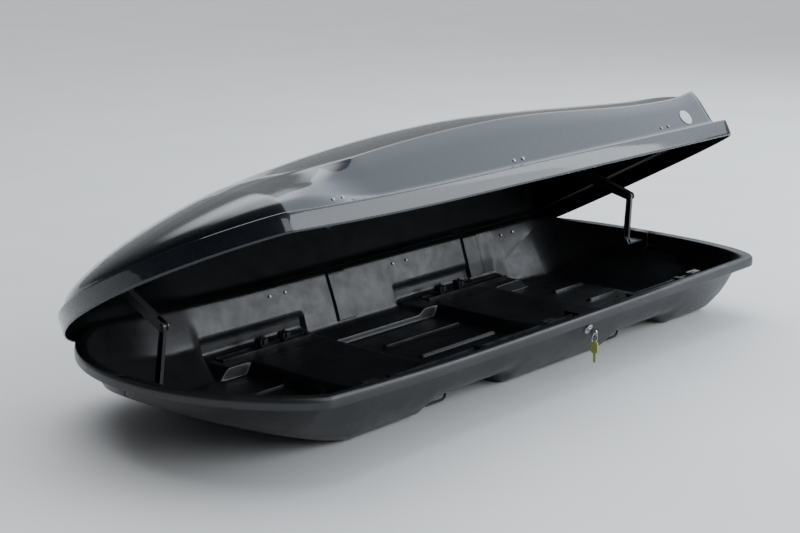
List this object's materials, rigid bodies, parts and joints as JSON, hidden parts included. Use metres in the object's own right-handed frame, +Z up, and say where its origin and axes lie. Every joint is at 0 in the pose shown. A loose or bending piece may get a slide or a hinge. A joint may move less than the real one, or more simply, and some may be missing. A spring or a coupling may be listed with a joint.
{
  "type": "roof cargo box",
  "caption": "Long streamlined car roof cargo box, side-hinged lid held open by folding stays, with sliding roof bar clamps, knobs and a keyed locking bar.",
  "frame": {"origin": "middle of the flat underside of the base shell", "axes": "+X to the rear of the car, +Y to the hinge side, +Z up"},
  "size_m": [1.911, 0.8293, 0.6171],
  "materials": {
    "base_plastic": "satin vacuum-formed plastic with a fine grain",
    "lid_plastic": "gloss dark grey outside, black inside",
    "zinc_steel": "zinc plated",
    "bright_steel": "polished zinc plating",
    "black_plastic": "moulded black plastic",
    "lock_plastic": "moulded black plastic",
    "yellow_plastic": "olive yellow moulded key head on a steel blade",
    "white_vinyl": "printed vinyl disc, left blank"
  },
  "bodies": {
    "base": {"base_shell": "base_plastic", "hinge_base_leaf_1": "zinc_steel", "hinge_base_leaf_2": "zinc_steel", "hinge_base_leaf_3": "zinc_steel", "hinge_pins": "bright_steel", "hinge_base_rivets": "bright_steel", "stay_bracket_front": "black_plastic", "stay_bracket_rear": "zinc_steel", "stay_base_pins": "bright_steel", "rail_front_far": "zinc_steel", "rail_front_near": "zinc_steel", "rail_rear_far": "zinc_steel", "rail_rear_near": "zinc_steel", "lock_housing": "lock_plastic", "lock_nut": "zinc_steel", "bar_guides": "black_plastic", "lock_box": "black_plastic"},
    "lid": {"lid_shell": "lid_plastic", "hinge_lid_leaf_1": "zinc_steel", "hinge_lid_leaf_2": "zinc_steel", "hinge_lid_leaf_3": "zinc_steel", "hinge_lid_rivets": "bright_steel", "stay_lid_bracket_front": "zinc_steel", "stay_lid_bracket_rear": "zinc_steel", "stay_lid_pins": "bright_steel", "strikers": "zinc_steel", "striker_rivets": "bright_steel", "badge": "white_vinyl"},
    "front_stay_lower": {"stay_lower_arm_front": "zinc_steel", "stay_elbow_pin_front": "bright_steel"},
    "front_stay_upper": {"stay_upper_arm_front": "zinc_steel"},
    "rear_stay_lower": {"stay_lower_arm_rear": "zinc_steel", "stay_elbow_pin_rear": "bright_steel"},
    "rear_stay_upper": {"stay_upper_arm_rear": "zinc_steel"},
    "lock_cylinder": {"lock_plug": "bright_steel", "lock_cam": "zinc_steel", "key": "bright_steel"},
    "locking_bar": {"lock_bar": "zinc_steel", "catches": "zinc_steel"},
    "ring": {"key_ring": "bright_steel"},
    "spare_key": {"spare_key": "yellow_plastic"},
    "clamp_front_far": {"u_bolt_front_far": "bright_steel", "clamp_plate_front_far": "zinc_steel"},
    "knob_front_far_a": {"knob_front_far_a": "black_plastic"},
    "knob_front_far_b": {"knob_front_far_b": "black_plastic"},
    "clamp_front_near": {"u_bolt_front_near": "bright_steel", "clamp_plate_front_near": "zinc_steel"},
    "knob_front_near_a": {"knob_front_near_a": "black_plastic"},
    "knob_front_near_b": {"knob_front_near_b": "black_plastic"},
    "clamp_rear_far": {"u_bolt_rear_far": "bright_steel", "clamp_plate_rear_far": "zinc_steel"},
    "knob_rear_far_a": {"knob_rear_far_a": "black_plastic"},
    "knob_rear_far_b": {"knob_rear_far_b": "black_plastic"},
    "clamp_rear_near": {"u_bolt_rear_near": "bright_steel", "clamp_plate_rear_near": "zinc_steel"},
    "knob_rear_near_a": {"knob_rear_near_a": "black_plastic"},
    "knob_rear_near_b": {"knob_rear_near_b": "black_plastic"}
  },
  "joints": [
    {"name": "lid_hinge", "type": "hinge", "parent": "base", "child": "lid", "pos_m": [0, 0.388, 0.121], "axis": [1, 0, 0], "range_deg": [0, 27.3]},
    {"name": "front_stay_foot", "type": "hinge", "parent": "base", "child": "front_stay_lower", "pos_m": [-0.76, 0.1115, 0.086], "axis": [1, 0, 0], "range_deg": [0, 39.07]},
    {"name": "front_stay_elbow", "type": "hinge", "parent": "front_stay_lower", "child": "front_stay_upper", "pos_m": [-0.76, 0.0805, 0.2377], "axis": [1, 0, 0], "range_deg": [-45.4, 0]},
    {"name": "rear_stay_foot", "type": "hinge", "parent": "base", "child": "rear_stay_lower", "pos_m": [0.858, 0.024, 0.149], "axis": [1, 0, 0], "range_deg": [0, 39.56]},
    {"name": "rear_stay_elbow", "type": "hinge", "parent": "rear_stay_lower", "child": "rear_stay_upper", "pos_m": [0.858, 0.0144, 0.2732], "axis": [1, 0, 0], "range_deg": [-67.78, 0]},
    {"name": "lock_turn", "type": "hinge", "parent": "base", "child": "lock_cylinder", "pos_m": [0.185, -0.35024, 0.104], "axis": [0, -0.913, -0.408], "range_deg": [0, 90]},
    {"name": "bar_slide", "type": "slide", "parent": "base", "child": "locking_bar", "axis": [-1, 0, 0], "range_m": [0, 0.01697]},
    {"name": "ring_swing", "type": "hinge", "parent": "lock_cylinder", "child": "ring", "pos_m": [0.185, -0.37261, 0.094], "axis": [1, 0, 0], "range_deg": [-12, 12]},
    {"name": "spare_key_swing", "type": "hinge", "parent": "ring", "child": "spare_key", "pos_m": [0.185, -0.37261, 0.072], "axis": [1, 0, 0], "range_deg": [-12, 12]},
    {"name": "clamp_front_far_slide", "type": "slide", "parent": "base", "child": "clamp_front_far", "axis": [1, 0, 0], "range_m": [-0.052, 0.068]},
    {"name": "knob_front_far_a_turn", "type": "hinge", "parent": "clamp_front_far", "child": "knob_front_far_a", "pos_m": [-0.294, 0.298, 0.05], "axis": [0, 0, 1], "continuous": true},
    {"name": "knob_front_far_b_turn", "type": "hinge", "parent": "clamp_front_far", "child": "knob_front_far_b", "pos_m": [-0.218, 0.298, 0.05], "axis": [0, 0, 1], "continuous": true},
    {"name": "clamp_front_near_slide", "type": "slide", "parent": "base", "child": "clamp_front_near", "axis": [1, 0, 0], "range_m": [-0.052, 0.068]},
    {"name": "knob_front_near_a_turn", "type": "hinge", "parent": "clamp_front_near", "child": "knob_front_near_a", "pos_m": [-0.294, -0.25, 0.05], "axis": [0, 0, 1], "continuous": true},
    {"name": "knob_front_near_b_turn", "type": "hinge", "parent": "clamp_front_near", "child": "knob_front_near_b", "pos_m": [-0.218, -0.25, 0.05], "axis": [0, 0, 1], "continuous": true},
    {"name": "clamp_rear_far_slide", "type": "slide", "parent": "base", "child": "clamp_rear_far", "axis": [1, 0, 0], "range_m": [-0.052, 0.068]},
    {"name": "knob_rear_far_a_turn", "type": "hinge", "parent": "clamp_rear_far", "child": "knob_rear_far_a", "pos_m": [0.368, 0.298, 0.05], "axis": [0, 0, 1], "continuous": true},
    {"name": "knob_rear_far_b_turn", "type": "hinge", "parent": "clamp_rear_far", "child": "knob_rear_far_b", "pos_m": [0.444, 0.298, 0.05], "axis": [0, 0, 1], "continuous": true},
    {"name": "clamp_rear_near_slide", "type": "slide", "parent": "base", "child": "clamp_rear_near", "axis": [1, 0, 0], "range_m": [-0.052, 0.068]},
    {"name": "knob_rear_near_a_turn", "type": "hinge", "parent": "clamp_rear_near", "child": "knob_rear_near_a", "pos_m": [0.368, -0.25, 0.05], "axis": [0, 0, 1], "continuous": true},
    {"name": "knob_rear_near_b_turn", "type": "hinge", "parent": "clamp_rear_near", "child": "knob_rear_near_b", "pos_m": [0.444, -0.25, 0.05], "axis": [0, 0, 1], "continuous": true}
  ],
  "couplings": [
    {"joint": "front_stay_foot", "follows": "lid_hinge", "ratio": 1.431},
    {"joint": "front_stay_elbow", "follows": "lid_hinge", "ratio": -1.663},
    {"joint": "rear_stay_foot", "follows": "lid_hinge", "ratio": 1.449},
    {"joint": "rear_stay_elbow", "follows": "lid_hinge", "ratio": -2.4826},
    {"joint": "lock_turn", "follows": "bar_slide", "rad_per_m": 92.56}
  ]
}
